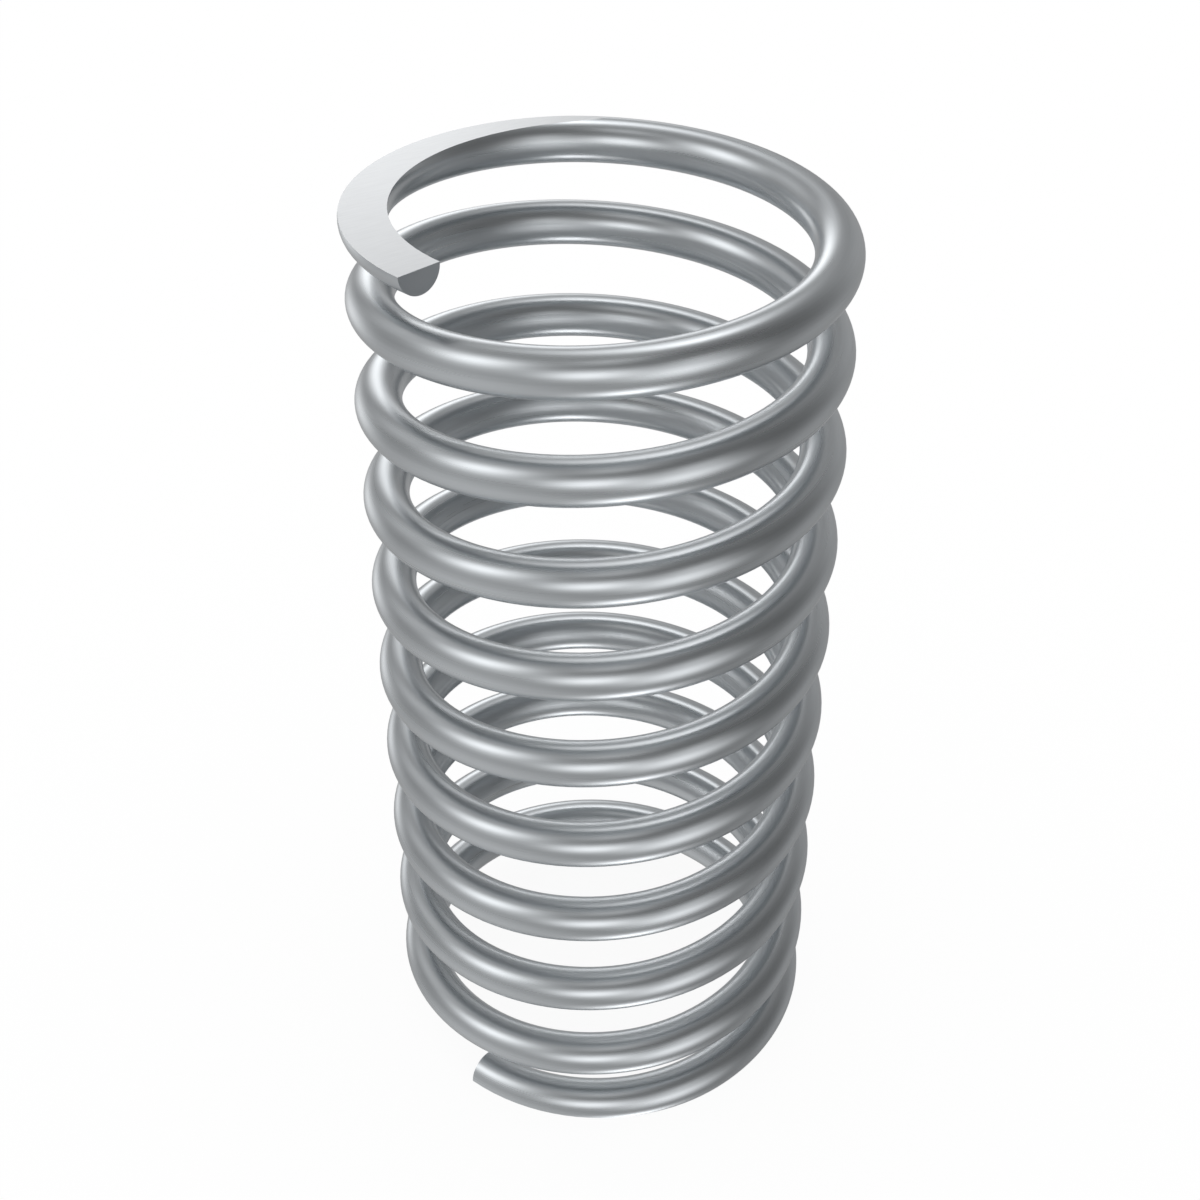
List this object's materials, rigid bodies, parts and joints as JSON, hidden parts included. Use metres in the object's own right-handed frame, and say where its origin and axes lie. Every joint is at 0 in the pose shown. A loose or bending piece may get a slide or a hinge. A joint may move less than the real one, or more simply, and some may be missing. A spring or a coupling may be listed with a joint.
{
  "type": "compression spring",
  "caption": "Helical compression spring of round steel wire, right-hand coil with drawn-in end turns ground flat to stand on or push against a face.",
  "frame": {"origin": "on the coil's axis, in the plane of the lower ground face", "axes": "+Z along the coil's axis towards the upper ground face; the lower tip of the wire is 231.4 degrees from +X towards +Y and the upper tip 225.1 degrees"},
  "size_m": [0.021, 0.021, 0.0435],
  "materials": {
    "spring_steel": "drawn and shot-peened satin spring steel, with the two end faces ground flat and bright"
  },
  "bodies": {
    "root": {"spring_wire": "spring_steel"}
  },
  "joints": []
}
